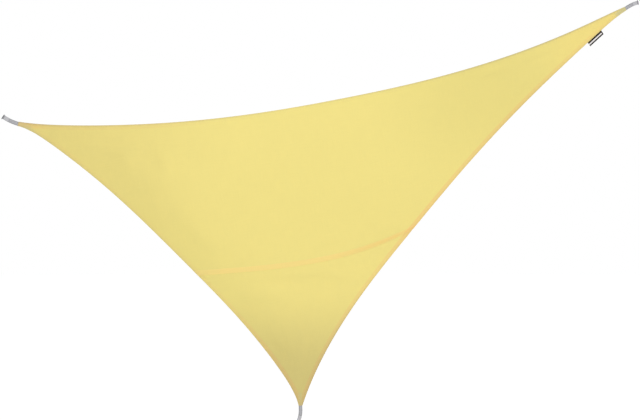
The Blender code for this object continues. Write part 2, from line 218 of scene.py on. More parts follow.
# How much darker the cloth is along the left edge.
LEFT_SHADE = ((0.0, 0.0), (0.2, 0.15), (0.38, 0.85), (0.55, 1.0), (0.75, 0.95), (0.88, 0.25), (1.0, 0.0))
LEFT_SHADE_WIDTH = 0.26
LIGHT_THROUGH = 0.22                     # share of the cloth's look that is light through it
# How clearly the grey webbing shows through each corner, with the painted shadow it casts in the light
# through the cloth.
WEBBING_SHOWS = {"left": 0.25, "right": 0.65, "low": 0.20}

# Soft creases that the pull leaves in the cloth: how far each stands back, its half width, how much
# painted shade darkens the cloth in it, and its line of points (x, z) from the left corner's cut end.
CREASES = (
    (0.0050, 0.028, 0.022,
     ((1.88, -1.105), (2.18, -1.11), (2.31, -1.105), (2.43, -1.115), (2.55, -1.14), (2.66, -1.18))),
    (-0.0030, 0.030, -0.010, ((1.84, -1.160), (2.02, -1.185), (2.22, -1.190))),
    (0.0040, 0.035, 0.012, ((1.66, -1.240), (1.88, -1.265), (2.11, -1.290))),
    (0.0040, 0.035, 0.010, ((2.28, -0.895), (2.42, -0.874), (2.58, -0.870))),
    (0.0035, 0.030, 0.012, ((2.77, -0.840), (2.90, -0.787), (3.04, -0.755))),
    (-0.0025, 0.020, -0.014, ((3.67, 0.385), (3.79, 0.405), (3.92, 0.450))),
    (0.0035, 0.020, 0.018, ((3.64, 0.325), (3.80, 0.365), (3.98, 0.425))),
    (0.0025, 0.016, 0.016, ((4.03, 0.450), (4.15, 0.495), (4.26, 0.540))),
    (0.0045, 0.040, 0.018, ((0.56, -0.165), (0.76, -0.245), (0.88, -0.340), (1.00, -0.460))),
    (-0.0040, 0.035, -0.014, ((0.80, -0.230), (0.91, -0.372), (0.97, -0.470))),
    (0.0035, 0.040, 0.016, ((0.99, -0.130), (1.06, -0.231), (1.10, -0.345))),
    (-0.0035, 0.040, -0.014, ((1.12, -0.190), (1.16, -0.318), (1.16, -0.440))),
    (0.0035, 0.040, 0.014, ((0.79, -0.420), (0.97, -0.470), (1.17, -0.455))),
    (0.0045, 0.050, 0.018, ((1.14, -0.610), (1.28, -0.733), (1.39, -0.835), (1.53, -0.930))),
    (0.0035, 0.030, 0.012, ((1.94, -1.540), (2.05, -1.620), (2.14, -1.740))),
    (-0.0030, 0.030, -0.010, ((2.26, -1.500), (2.23, -1.640), (2.21, -1.780))),
)

# ---- The stage
WHITE = (1.0, 1.0, 1.0)
FLOOR_RADII = (4.0, 12.0, 34.0)
FLOOR_SIDES = 96
FLOOR_GREY = (0.9, 0.9, 0.9)
FLOOR_GLOW = 0.46
KEY_LIGHT_AT = (-0.5, -7.0, 3.2)         # from the sail's middle, the cloth's plane and its top
KEY_LIGHT_AIM = 0.5                      # above the sail's middle
KEY_LIGHT_SIZE = (5.0, 3.0)
# The camera stands 26 degrees left of square on and slightly above: its place from the left
# corner's cut end, and its forward and right directions.
CAMERA_AT = (-8.822, -22.894, 0.120)
CAMERA_FORWARD = (0.4383, 0.8984, -0.0295)
CAMERA_RIGHT = (0.8988, -0.4384, 0.0)
CAMERA_CLIP = (0.5, 200.0)


# ---- Plane geometry, with points as (x, z)
def heading(angle):
    return np.array((math.cos(angle), math.sin(angle)))


def left_of(direction):
    return np.stack((-direction[..., 1], direction[..., 0]), axis=-1)


def unit(vectors):
    return vectors / np.linalg.norm(vectors, axis=-1, keepdims=True)


def smooth(values, low, high):
    t = np.clip((values - low) / (high - low), 0.0, 1.0)
    return t * t * (3.0 - 2.0 * t)


def bell(values, width):
    return np.exp(-((values / width) ** 2))


def webbing_spine(corner, distance):
    """Offset from a corner's cut end, and heading, at a distance along its webbing."""
    start = math.radians(CORNERS[corner]["at_cloth"])
    turn = math.radians(CORNERS[corner]["at_ring"]) - start
    bent = WEB_FREE - WEB_NECK
    inside = min(max(distance, 0.0), bent)
    middles = inside * (np.arange(SPINE_STEPS) + 0.5) / SPINE_STEPS
    headings = start + turn * (middles / bent) ** BEND_EASE
    place = np.array((np.cos(headings).sum(), np.sin(headings).sum())) * inside / SPINE_STEPS
    angle = start + turn * (inside / bent) ** BEND_EASE
    return place + (distance - inside) * heading(angle), angle


def corner_tips():
    """Middles of the three cut ends, placed so that the right ring's bar is at the origin."""
    right = -webbing_spine("right", WEB_FREE)[0]
    left = right - LONG_SIDE * heading(LONG_SIDE_RISE)
    at_left = math.acos((LONG_SIDE**2 + LEFT_SIDE**2 - RIGHT_SIDE**2) / (2.0 * LONG_SIDE * LEFT_SIDE))
    low = left + LEFT_SIDE * heading(LONG_SIDE_RISE - at_left)
    return {"left": left, "right": right, "low": low}


TIPS = corner_tips()


def on_webbing(corner, distance, side):
    """A place at a distance along a corner's webbing and to one side of its middle."""
    offset, angle = webbing_spine(corner, distance)
    return TIPS[corner] + offset + side * left_of(heading(angle))


def into_cloth(corner):
    """Unit directions at a corner: back along its webbing into the cloth, and across it."""
    forward = heading(math.radians(CORNERS[corner]["at_cloth"]))
    return -forward, left_of(forward)


def cut_end(corner, side):
    return TIPS[corner] + side * (WEB_WIDTH / 2.0 + WEB_MARGIN) * into_cloth(corner)[1]


EDGE_ENDS = {
    "top": (cut_end("left", -1), cut_end("right", 1)),
    "left": (cut_end("left", 1), cut_end("low", -1)),
    "right": (cut_end("right", -1), cut_end("low", 1)),
}
MIDDLE = (TIPS["low"] + TIPS["left"] + TIPS["right"]) / 3.0


def inward(start, end):
    across = left_of(unit(end - start))
    return across if across @ (MIDDLE - start) > 0 else -across


DOWN = inward(TIPS["left"], TIPS["right"])


def bow(t, lean, fullness=2.0):
    shifted = t + lean * t * (1.0 - t)
    return 1.0 - np.abs(2.0 * shifted - 1.0) ** fullness


def pinch(t):
    return t / PINCH_PLACE * np.exp(1.0 - t / PINCH_PLACE)


def drawn_in(edge, t):
    """How far an edge lies inside its straight line, at the share t of that line."""
    depth, fullness, lean, pinch_start, pinch_end = EDGES[edge]
    return depth * bow(t, lean, fullness) + pinch_start * pinch(t) + pinch_end * pinch(1.0 - t)


def edge_points(edge, t):
    start, end = EDGE_ENDS[edge]
    t = np.asarray(t, float)[..., None]
    return start + (end - start) * t + inward(start, end) * drawn_in(edge, t)


EDGE_LINES = {edge: edge_points(edge, np.linspace(0.0, 1.0, EDGE_SAMPLES + 1)) for edge in EDGES}


def travelled(line):
    """How far along a line each of its points lies."""
    return np.concatenate(([0.0], np.cumsum(np.linalg.norm(np.diff(line, axis=0), axis=1))))


def arc(centre, radius, start, end, count):
    """Points round a centre that lies on the first axis."""
    return [(centre + radius * math.cos(a), radius * math.sin(a)) for a in np.linspace(start, end, count)]


def distances_to(points, line, batch=4000):
    """Distance of each point from a line, and how far along the line its nearest place is."""
    starts, spans = line[:-1], np.diff(line, axis=0)
    lengths, before = np.linalg.norm(spans, axis=1), travelled(line)
    flat = points.reshape(-1, 2)
    nearest = np.empty(len(flat))
    along = np.empty(len(flat))
    for first in range(0, len(flat), batch):
        offset = flat[first:first + batch, None, :] - starts
        t = np.clip((offset * spans).sum(-1) / lengths**2, 0.0, 1.0)
        away = np.linalg.norm(offset - t[..., None] * spans, axis=-1)
        best = away.argmin(axis=1)
        rows = np.arange(len(best))
        nearest[first:first + batch] = away[rows, best]
        along[first:first + batch] = before[best] + t[rows, best] * lengths[best]
    return nearest.reshape(points.shape[:-1]), along.reshape(points.shape[:-1])


def beside(points, line):
    """Distance of each point from a line, and the share of the line at its nearest place."""
    away, along = distances_to(points, line)
    return away, along / travelled(line)[-1]


def edge_distances(points):
    return np.stack([distances_to(points, line)[0] for line in EDGE_LINES.values()], axis=-1)


def tip_distance(points):
    return np.min([np.linalg.norm(points - tip, axis=-1) for tip in TIPS.values()], axis=0)


def share_at_depth(edge, depth):
    """Share along a side edge at which it is this deep below the long side's straight line."""
    low, high = 0.0, 1.0
    for _ in range(40):
        t = (low + high) / 2.0
        if (edge_points(edge, t) - TIPS["left"]) @ DOWN < depth:
            low = t
        else:
            high = t
    return low


SEAM_LEFT = share_at_depth("left", SEAM_DEPTH)
SEAM_RIGHT = share_at_depth("right", SEAM_DEPTH)


def row_points(level, t):
    """Points across the sail at a level: 0 inside the top hem, 1 on the seam, 2 at the low corner."""
    level, t = np.broadcast_arrays(np.asarray(level, float), np.asarray(t, float))
    upper = np.minimum(level, 1.0)
    lower = np.maximum(level - 1.0, 0.0)
    start = edge_points("left", SEAM_LEFT * upper + (1.0 - SEAM_LEFT) * lower)
    end = edge_points("right", SEAM_RIGHT * upper + (1.0 - SEAM_RIGHT) * lower)
    seam_dip = SEAM_DIP * bow(t, SEAM_LEAN)
    dip = (drawn_in("top", t) * (1.0 - upper) + seam_dip * upper) * (1.0 - lower)
    return start + (end - start) * t[..., None] + DOWN * dip[..., None]


SEAM_LINE = row_points(1.0, np.linspace(0.0, 1.0, EDGE_SAMPLES + 1))


# ---- Depth of the cloth
def fold_rise(points):
    total = np.zeros(points.shape[:-1])
    for corner, middle, spread, rise, reach in FOLDS:
        back, across = into_cloth(corner)
        offset = points - TIPS[corner]
        bearing = np.degrees(np.arctan2(offset @ -across, offset @ back))
        gone = (np.linalg.norm(offset, axis=-1) - FLAT_TIP) / (reach - FLAT_TIP)
        total += rise * bell(bearing - middle, spread) * np.sin(math.pi * np.clip(gone, 0.0, 1.0))
    return total


BELLY_AT_MIDDLE = float(np.prod(edge_distances(MIDDLE[None, :])))


def cloth_front(points, distances):
    """The Y of the front face of the sail's solids."""
    belly = BELLY * distances.prod(axis=-1) / BELLY_AT_MIDDLE
    loose = smooth(distances.min(axis=-1), FOLD_FROM, FOLD_FREE)
    belly = belly * smooth(tip_distance(points), FLAT_TIP, FULL_BELLY)
    return CLOTH_FRONT + belly + fold_rise(points) * loose


def thickness(distances):
    nearest = distances.min(axis=-1)
    return HEM + (CLOTH - HEM) * smooth(nearest, HEM_WIDTH, HEM_WIDTH + HEM_STEP)


def creases(points):
    """The creases' depth, and the painted shade that darkens the cloth in them."""
    depth, shade = np.zeros((2, *points.shape[:-1]))
    for back, width, darker, line in CREASES:
        away, share = beside(points, TIPS["left"] + np.array(line))
        strength = bell(away, width) * np.sin(math.pi * np.clip(share, 0.0, 1.0)) ** 0.7
        depth += back * strength
        shade += darker * strength
    return depth, shade


def puckers(points, height):
    """Small waves that the sewing draws into the cloth beside the hems and the seam."""
    total = np.zeros(points.shape[:-1])
    for number, line in enumerate((*EDGE_LINES.values(), SEAM_LINE)):
        away, along = distances_to(points, line)
        start = SEAM_LAP / 2.0 if line is SEAM_LINE else HEM_WIDTH
        reach = smooth(away, start, start + PUCKER_START) * bell(away - start, PUCKER_REACH)
        slow = 0.5 + 0.5 * np.sin(along * 3.1 + 1.7 * number) * np.sin(along * 7.3 + number)
        wave = np.sin(along * 83.0 + 2.0 * np.sin(along * 5.3 + number))
        wave += 0.6 * np.sin(along * 131.0 + 1.5 * np.sin(along * 9.1 + 2.0 * number))
        total += height * wave * slow * reach
    return total


def slow_waves(points, height):
    x, z = points[..., 0], points[..., 1]
    wave = np.sin(2.1 * x + 3.7 * z + 0.6) * np.sin(4.3 * x - 1.9 * z + 1.1)
    wave += 0.6 * np.sin(5.9 * x + 2.3 * z + 2.4) * np.sin(1.7 * x + 6.1 * z)
    return height * wave


def fine_relief(points, distances, relief):
    near = tip_distance(points)
    free = smooth(distances.min(axis=-1), FOLD_FROM, RELIEF_FREE) * smooth(near, FLAT_TIP, RELIEF_FROM_TIP)
    slow = slow_waves(points, relief.wave_height) + relief.crease_share * creases(points)[0]
    sewn = puckers(points, relief.pucker_height) * smooth(near, FLAT_TIP, PUCKERS_FROM_TIP)
    return slow * free + sewn


# ---- Meshes
def add_piece(name, vertices, faces, material, smooth_angle=35.0, attributes=None):
    mesh = bpy.data.meshes.new(name)
    mesh.from_pydata(np.asarray(vertices).tolist(), [], faces)
    mesh.validate()
    mesh.materials.append(material)
    for label, values in (attributes or {}).items():
        values = np.asarray(values, np.float32)
        kind, key = ("FLOAT", "value") if values.ndim == 1 else ("FLOAT_VECTOR", "vector")
        mesh.attributes.new(label, kind, "POINT").data.foreach_set(key, values.ravel())
    mesh.shade_smooth()
    mesh.set_sharp_from_angle(angle=math.radians(smooth_angle))
    piece = bpy.data.objects.new(name, mesh)
    bpy.context.scene.collection.objects.link(piece)
    return piece


def fit(piece, node=None):
    """Lets a piece ride with the sail and stand for a node."""
    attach(piece, "root")
    if node:
        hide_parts(node)


def grid_faces(rows, columns, first=0, flip=False):
    a = first + (np.arange(rows - 1)[:, None] * columns + np.arange(columns - 1)).ravel()
    order = (a, a + 1, a + columns + 1, a + columns) if flip else (a, a + columns, a + columns + 1, a + 1)
    return np.stack(order, axis=1).tolist()


def rim_of(grid):
    """Entries round the border of a grid, in order, and the entry that follows each of them."""
    rim = np.concatenate((grid[0, :-1], grid[:-1, -1], grid[-1, :0:-1], grid[:0:-1, 0]))
    return rim, np.roll(rim, -1, axis=0)


def double_sheet_faces(rows, columns):
    """Faces of two like grids of points, one behind the other, joined round their rims."""
    count = rows * columns
    rim, following = rim_of(np.arange(count).reshape(rows, columns))
    closing = np.stack((rim, following, following + count, rim + count), axis=1).tolist()
    return grid_faces(rows, columns) + grid_faces(rows, columns, count, flip=True) + closing


def tube_faces(count, around, first=0, closed=False, flip=False):
    """Faces round a tube of rings of points, with its ends joined when it is closed."""
    faces = []
    for k in range(count if closed else count - 1):
        here, after = first + k * around, first + (k + 1) % count * around
        for m in range(around):
            n = (m + 1) % around
            faces.append((here + m, after + m, after + n, here + n) if flip
                         else (here + m, here + n, after + n, after + m))
    return faces


def sheet_piece(name, plan, front, back, material, attributes):
    """A closed sheet over a grid of (x, z) points, with its front and back depths."""
    vertices = np.concatenate([np.stack((plan[..., 0], depth, plan[..., 1]), axis=-1).reshape(-1, 3)
                               for depth in (front, back)])
    doubled = {key: np.concatenate((v.reshape(-1, *v.shape[2:]),) * 2) for key, v in attributes.items()}
    return add_piece(name, vertices, double_sheet_faces(*front.shape), material, attributes=doubled)


def hem_columns(level, middle_columns):
    """Shares across a row: the hem lines of both sides, with even columns between them."""
    lines = np.array(HEM_LINES)
    width = np.linalg.norm(row_points(level, 1.0) - row_points(level, 0.0))
    probe = min(0.25, lines[-1] / width)
    left = distances_to(row_points(level, np.array([probe])), EDGE_LINES["left"])[0][0] / probe
    right = distances_to(row_points(level, np.array([1.0 - probe])), EDGE_LINES["right"])[0][0] / probe
    squeeze = min(1.0, HEMS_AT_MOST / (lines[-1] / left + lines[-1] / right))
    first, last = lines / left * squeeze, 1.0 - lines[::-1] / right * squeeze
    middle = np.linspace(first[-1], last[0], middle_columns + 1)[1:-1]
    return np.concatenate((first, middle, last))


def top_hem_plan(shares):
    """Grid of points over the top hem, row by row at set distances from the edge, and the level
    that each column has reached at its foot."""
    edge, inner = edge_points("top", shares), row_points(0.0, shares)
    width = distances_to(inner, EDGE_LINES["top"])[0]
    probe = 0.03
    growth = (distances_to(row_points(probe, shares), EDGE_LINES["top"])[0] - width) / probe
    growth = np.maximum(growth, 0.25 * growth.max())
    plan = []
    for distance in HEM_LINES:
        inside = np.clip(distance / width, 0.0, 1.0)[:, None]
        level = np.maximum(distance - width, 0.0) / growth
        plan.append(np.where(inside < 1.0, edge + (inner - edge) * inside, row_points(level, shares)))
    return plan, level


def upper_plan(rows, middle_columns):
    shares = hem_columns(0.0, middle_columns)
    plan, foot = top_hem_plan(shares)
    laps = 1.0 + HALF_LAP - np.array(LAP_LINES)[::-1] / SEAM_DEPTH
    reached = float(foot.max())
    steps = reached + (laps[0] - reached) * (np.arange(1, rows) / rows) ** ROWS_CROWD
    for number, level in enumerate(steps):
        easing = 1.0 - smooth(number, -1.0, 3.0)
        levels = level + (foot - reached) * easing
        here = hem_columns(level, middle_columns)
        plan.append(row_points(levels, here * (1.0 - easing) + shares * easing))
    plan += [row_points(level, hem_columns(level, middle_columns)) for level in laps]
    return np.array(plan)


def lower_plan(rows, middle_columns):
    lap = np.linspace(1.0 - HALF_LAP, 1.0 + HALF_LAP, LAP_ROWS)
    below = 1.0 + HALF_LAP + np.array(BELOW_LAP_LINES) / SEAM_DEPTH
    rest = 2.0 - (2.0 - below[-1]) * (np.arange(rows - 1, -1, -1) / rows) ** ROWS_CROWD
    levels = np.concatenate((lap, below, rest))
    return np.array([row_points(level, hem_columns(level, middle_columns)) for level in levels]), levels


def rounded(away):
    """How far a folded edge falls back from the sheet's face, at a distance from the fold."""
    inside = np.clip(FOLD_RADIUS - away, 0.0, FOLD_RADIUS)
    return FOLD_TURN * (FOLD_RADIUS - np.sqrt(FOLD_RADIUS**2 - inside**2))


def stitch_dip(away, rows):
    return STITCH_DIP * sum(bell(away - row, STITCH_DIP_WIDTH) for row in rows)


def behind_webbing(points):
    """How clearly a webbing loop and its painted shadow show where it is sewn behind the cloth, and 0
    elsewhere.
    """
    total = np.zeros(points.shape[:-1])
    for corner, tip in TIPS.items():
        back, across = into_cloth(corner)
        along, side = (points - tip) @ back, np.abs((points - tip) @ across)
        reach = 1.0 - smooth(along, WEB_SEWN - 0.003, WEB_SEWN + 0.003)
        width = 1.0 - smooth(side, WEB_WIDTH / 2.0 - 0.001, WEB_WIDTH / 2.0 + 0.002)
        total += WEBBING_SHOWS[corner] * reach * width * (along > -0.01)
    return total


def strength_at(share, tones):
    return np.interp(share, *zip(*tones))


def cloth_masks(points):
    """Point attributes that the cloth's material reads."""
    doubled, fold = np.zeros((2, *points.shape[:-1]))
    for edge, tones in HEM_TONES.items():
        away, share = beside(points, EDGE_LINES[edge])
        hem = 1.0 - smooth(away, HEM_WIDTH, HEM_WIDTH + HEM_TINT_FADE)
        doubled = np.maximum(doubled, hem * strength_at(share, tones["doubled"]))
        fold = np.maximum(fold, bell(away, FOLD_SHADE_WIDTH) * strength_at(share, tones["fold"]))
    seam_share = beside(points, SEAM_LINE)[1]
    away, share = beside(points, EDGE_LINES["left"])
    warp = heading(LONG_SIDE_RISE)
    return {
        "doubled": doubled,
        "fold": fold,
        "seam_shown": strength_at(seam_share, SEAM_TONES["shown"]),
        "seam_deep": strength_at(seam_share, SEAM_TONES["deep"]),
        "left_shade": strength_at(share, LEFT_SHADE) * bell(away, LEFT_SHADE_WIDTH),
        "crease_shade": creases(points)[1],
        "webbing_behind": behind_webbing(points),
        "place": np.stack((points @ warp, points @ left_of(warp), np.zeros(points.shape[:-1])), axis=-1),
    }


# ---- Node groups and materials
class Graph:
    """A node tree with short calls to add, set and join its nodes."""

    def __init__(self, tree):
        self.tree = tree

    def feed(self, socket, value):
        """Gives a socket a number, a vector or a colour, or joins it to another socket."""
        if isinstance(value, bpy.types.NodeSocket):
            self.tree.links.new(value, socket)
        else:
            socket.default_value = (*value, 1.0) if socket.type == "RGBA" else value

    def add(self, kind, inputs=None, **settings):
        node = self.tree.nodes.new(kind)
        for key, value in settings.items():
            setattr(node, key, value)
        for key, value in (inputs or {}).items():
            self.feed(node.inputs[key], value)
        node.location = (200 * (len(self.tree.nodes) % 8), -220 * (len(self.tree.nodes) // 8))
        return node

    def math(self, operation, *values):
        return self.add("ShaderNodeMath", dict(enumerate(values)), operation=operation).outputs[0]

    def vector_math(self, operation, *values):
        return self.add("ShaderNodeVectorMath", dict(enumerate(values)), operation=operation).outputs

    def blend(self, factor, first, second, mode="MIX"):
        return self.add("ShaderNodeMix", {0: factor, 6: first, 7: second},
                        data_type="RGBA", blend_type=mode, clamp_factor=True).outputs[2]

    def tinted(self, colour, mask, tint):
        return self.blend(1.0, colour, self.blend(mask, WHITE, tint), "MULTIPLY")

    def noise(self, place, scale, detail):
        return self.add("ShaderNodeTexNoise", {"Vector": place, "Scale": scale, "Detail": detail}).outputs[0]

    def attribute(self, name, output="Fac"):
        return self.add("ShaderNodeAttribute", attribute_name=name).outputs[output]

    def object_place(self):
        return self.add("ShaderNodeTexCoord").outputs["Object"]

    def group(self, builder, **values):
        """A shared node group, built the first time, whose name is its builder's."""
        name = builder.__name__
        tree = bpy.data.node_groups.get(name) or builder(name)
        inputs = {key.replace("_", " "): value for key, value in values.items()}
        return self.add("ShaderNodeGroup", inputs, node_tree=tree).outputs


class Finish(Graph):
    """A new material, with values set on its shader's own sockets."""

    def __init__(self, name, **values):
        self.material = bpy.data.materials.new(name)
        self.material.use_nodes = True
        super().__init__(self.material.node_tree)
        self.shader = self.tree.nodes["Principled BSDF"]
        for key, value in values.items():
            self.feed(self.shader.inputs[key.replace("_", " ")], value)

    def paint(self, colour, *tones):
        """Colours the shader, with the colour multiplied by grey tones."""
        for tone in tones:
            grey = self.add("ShaderNodeCombineColor", {0: tone, 1: tone, 2: tone}).outputs[0]
            colour = self.blend(1.0, colour, grey, "MULTIPLY")
        self.feed(self.shader.inputs["Base Color"], colour)
        return colour

    def bump(self, height, distance, strength):
        node = self.add("ShaderNodeBump", {"Height": height, "Distance": distance, "Strength": strength})
        self.feed(self.shader.inputs["Normal"], node.outputs[0])


def new_group(name, inputs, outputs):
    """An empty node group: inputs with a default, or None for a vector, and outputs of a value."""
    tree = bpy.data.node_groups.new(name, "ShaderNodeTree")
    for label, default in inputs.items():
        kind = "NodeSocketVector" if default is None else "NodeSocketFloat"
        socket = tree.interface.new_socket(label, in_out="INPUT", socket_type=kind)
        if default is not None:
            socket.default_value = default
    for label in outputs:
        tree.interface.new_socket(label, in_out="OUTPUT", socket_type="NodeSocketFloat")
    graph = Graph(tree)
    return graph, graph.add("NodeGroupInput").outputs, graph.add("NodeGroupOutput").inputs


def woven_threads(name):
    """Plain weave: a height for the bump and an uneven tone along the threads both ways."""
    graph, given, result = new_group(
        name, {"Place": None, "Threads per Metre": 900.0, "Unevenness": 0.05}, ("Height", "Tone"))
    parts = graph.add("ShaderNodeSeparateXYZ", {0: given["Place"]}).outputs
    turns = graph.math("MULTIPLY", given["Threads per Metre"], math.pi)
    warp, weft = [graph.math("SINE", graph.math("MULTIPLY", parts[k], turns)) for k in (0, 1)]
    graph.feed(result["Height"], graph.math("ABSOLUTE", graph.math("MULTIPLY", warp, weft)))
    streaks = [graph.noise(graph.vector_math("MULTIPLY", given["Place"], stretch)[0], 1.0, 2.0)
               for stretch in ((9.0, 260.0, 1.0), (260.0, 9.0, 1.0))]
    spread = graph.math("SUBTRACT", graph.math("ADD", *streaks), 1.0)
    graph.feed(result["Tone"], graph.math("MULTIPLY_ADD", spread, given["Unevenness"], 1.0))
    return graph.tree


def weathering(name):
    """Soft clouds of soil and bleaching, broad ones with finer ones over them."""
    graph, given, result = new_group(name, {"Place": None, "Cloud Size": 0.6, "Strength": 0.03}, ("Tone",))
    scale = graph.math("DIVIDE", 1.0, given["Cloud Size"])
    broad = graph.noise(given["Place"], scale, 3.0)
    fine = graph.noise(given["Place"], graph.math("MULTIPLY", scale, 9.0), 4.0)
    total = graph.math("MULTIPLY_ADD", fine, 0.35, broad)
    tone = graph.math("MULTIPLY_ADD", graph.math("SUBTRACT", total, 0.675), given["Strength"], 1.0)
    graph.feed(result["Tone"], tone)
    return graph.tree


def corner_mask(name):
    """1 at a place on the sail and 0 beyond a reach from it."""
    graph, given, result = new_group(
        name, {"Place": None, "Corner": None, "Stretch": None, "Whole Within": 0.1, "Gone Beyond": 1.0},
        ("Mask",))
    offset = graph.vector_math("SUBTRACT", given["Place"], given["Corner"])[0]
    away = graph.vector_math("LENGTH", graph.vector_math("MULTIPLY", offset, given["Stretch"])[0])["Value"]
    reach = {"Value": away, "From Min": given["Whole Within"], "From Max": given["Gone Beyond"],
             "To Min": 1.0, "To Max": 0.0}
    ramp = graph.add("ShaderNodeMapRange", reach, interpolation_type="SMOOTHSTEP")
    graph.feed(result["Mask"], ramp.outputs[0])
    return graph.tree


# Where the cloth's colour changes: the middle of the change, how the distance from it is stretched,
# how far the change is whole and where it has gone.
CLOTH_PATCHES = {
    # The low and left patches darken the cloth with painted shade.
    "low": (TIPS["low"], (0.25, 1.0, 1.0), 0.20, 0.86),
    "left": (TIPS["left"], (1.0, 1.0, 0.7), 0.15, 1.75),
    "right": (TIPS["right"], (1.0, 1.0, 1.0), 0.20, 1.00),
    "shaded": ((-1.32, -0.63), (0.75, 1.0, 1.0), 0.10, 0.85),
}


def cloth_material(name, colours):
    """Pale yellow polyester: doubled cloth glows deeper with painted light through it, and painted shade
    makes the low and left corners darker and greyer.
    """
    cloth = Finish(name, Roughness=0.86, Specular_IOR_Level=0.25)
    mask = cloth.attribute
    place, world = mask("place", "Vector"), cloth.object_place()
    weave = cloth.group(woven_threads, Place=place, Threads_per_Metre=900.0, Unevenness=0.05)
    clouds = cloth.group(weathering, Place=world, Cloud_Size=0.7, Strength=0.035)
    blotches = cloth.group(weathering, Place=world, Cloud_Size=0.30, Strength=0.14)
    patches = {}
    for key, ((x, z), stretch, near, far) in CLOTH_PATCHES.items():
        patches[key] = cloth.group(corner_mask, Place=world, Corner=(x, 0.0, z), Stretch=stretch,
                                   Whole_Within=near, Gone_Beyond=far)["Mask"]
    # Painted shade darkens the cloth towards the low and left corners.
    colour = colours.cloth
    for corner in ("low", "left", "right"):
        colour = cloth.blend(patches[corner], colour, getattr(colours, f"{corner}_corner"))
    shaded = cloth.math("MAXIMUM", patches["shaded"], mask("left_shade"))
    colour = cloth.tinted(colour, shaded, colours.shade_tint)
    # The lap's colours are painted light through its two layers of cloth.
    lap = cloth.blend(mask("seam_deep"), colours.seam, colours.seam_deep)
    colour = cloth.blend(mask("seam_shown"), colour, lap)
    # Painted light through two layers of cloth at the hems.
    colour = cloth.tinted(colour, mask("doubled"), colours.doubled_backlight_tint)
    fold = cloth.math("MULTIPLY", mask("fold"), FOLD_SHADE)
    colour = cloth.tinted(colour, fold, colours.fold_tint)
    # The webbing behind the corners, and its painted shadow in the light through the cloth.
    colour = cloth.blend(mask("webbing_behind"), colour, colours.webbing_shadow_through)
    # Painted shade in the creases.
    creased = cloth.math("SUBTRACT", 1.0, mask("crease_shade"))
    blotched = cloth.math("SUBTRACT", blotches["Tone"], 1.0)
    uneven = cloth.math("MULTIPLY_ADD", blotched, patches["left"], 1.0)
    colour = cloth.paint(colour, weave["Tone"], clouds["Tone"], creased, uneven)
    cloth.bump(weave["Height"], distance=0.00025, strength=0.35)
    thin = cloth.add("ShaderNodeBsdfTranslucent", {"Color": colour}).outputs[0]
    mixed = cloth.add("ShaderNodeMixShader", {0: LIGHT_THROUGH, 1: cloth.shader.outputs[0], 2: thin})
    cloth.feed(cloth.tree.nodes["Material Output"].inputs["Surface"], mixed.outputs[0])
    return cloth.material


def webbing_material(name, colours):
    """Grey woven webbing: ribs across it, darker selvedges and a sealed end."""
    webbing = Finish(name, Roughness=0.72, Specular_IOR_Level=0.35)
    place = webbing.attribute("place", "Vector")
    weave = webbing.group(woven_threads, Place=place, Threads_per_Metre=420.0, Unevenness=0.22)
    clouds = webbing.group(weathering, Place=place, Cloud_Size=0.03, Strength=0.16)
    colour = webbing.blend(webbing.attribute("sewn"), colours.webbing, colours.webbing_sewn)
    colour = webbing.blend(webbing.attribute("selvedge"), colour, colours.webbing_edge)
    # Painted shade where the loop turns round its ring's bar.
    colour = webbing.blend(webbing.attribute("bar_shade"), colour, colours.webbing_bar_shade)
    webbing.paint(colour, weave["Tone"], clouds["Tone"])
    webbing.bump(weave["Height"], distance=0.0006, strength=0.8)
    return webbing.material


def label_material(name, colours):
    """Woven tape: a pale blank field between dark plain bands."""
    tape = Finish(name, Roughness=0.75, Specular_IOR_Level=0.25)
    place = tape.attribute("place", "Vector")
    weave = tape.group(woven_threads, Place=place, Threads_per_Metre=1600.0, Unevenness=0.16)
    clouds = tape.group(weathering, Place=place, Cloud_Size=0.03, Strength=0.15)
    colour = tape.blend(tape.attribute("border"), colours.label_field, colours.label_border)
    tape.paint(colour, weave["Tone"], clouds["Tone"])
    tape.bump(weave["Height"], distance=0.0002, strength=0.5)
    return tape.material


def thread_material(name, colour):
    thread = Finish(name, Roughness=0.55)
    clouds = thread.group(weathering, Place=thread.object_place(), Cloud_Size=0.02, Strength=0.12)
    thread.paint(colour, clouds["Tone"])
    return thread.material


def steel_material(name, colours):
    """Drawn stainless wire, its colour darkened with painted shade: faint lines round it and dull spots
    where it rubs.
    """
    steel = Finish(name, Metallic=1.0)
    place = steel.attribute("place", "Vector")
    clouds = steel.group(weathering, Place=place, Cloud_Size=0.012, Strength=0.22)
    lines = steel.noise(steel.vector_math("MULTIPLY", place, (60.0, 2600.0, 1.0))[0], 1.0, 2.0)
    steel.paint(colours.steel, clouds["Tone"])
    steel.feed(steel.shader.inputs["Roughness"], steel.math("MULTIPLY_ADD", lines, 0.20, 0.24))
    steel.bump(lines, distance=0.00005, strength=0.25)
    return steel.material


def shared_material(name, builder, colours):
    return bpy.data.materials.get(name) or builder(name, colours)


# ---- Settings
def colour_setting(name, description, default, most=1.0):
    return FloatVectorProperty(name=name, description=description, subtype="COLOR",
                               default=default, min=0.0, max=most)


def length_setting(name, description, default, least, most):
    return FloatProperty(name=name, description=description, unit="LENGTH",
                         default=default, min=least, max=most, precision=4)


def count_setting(name, description, default, least, most):
    return IntProperty(name=name, description=description, default=default, min=least, max=most)


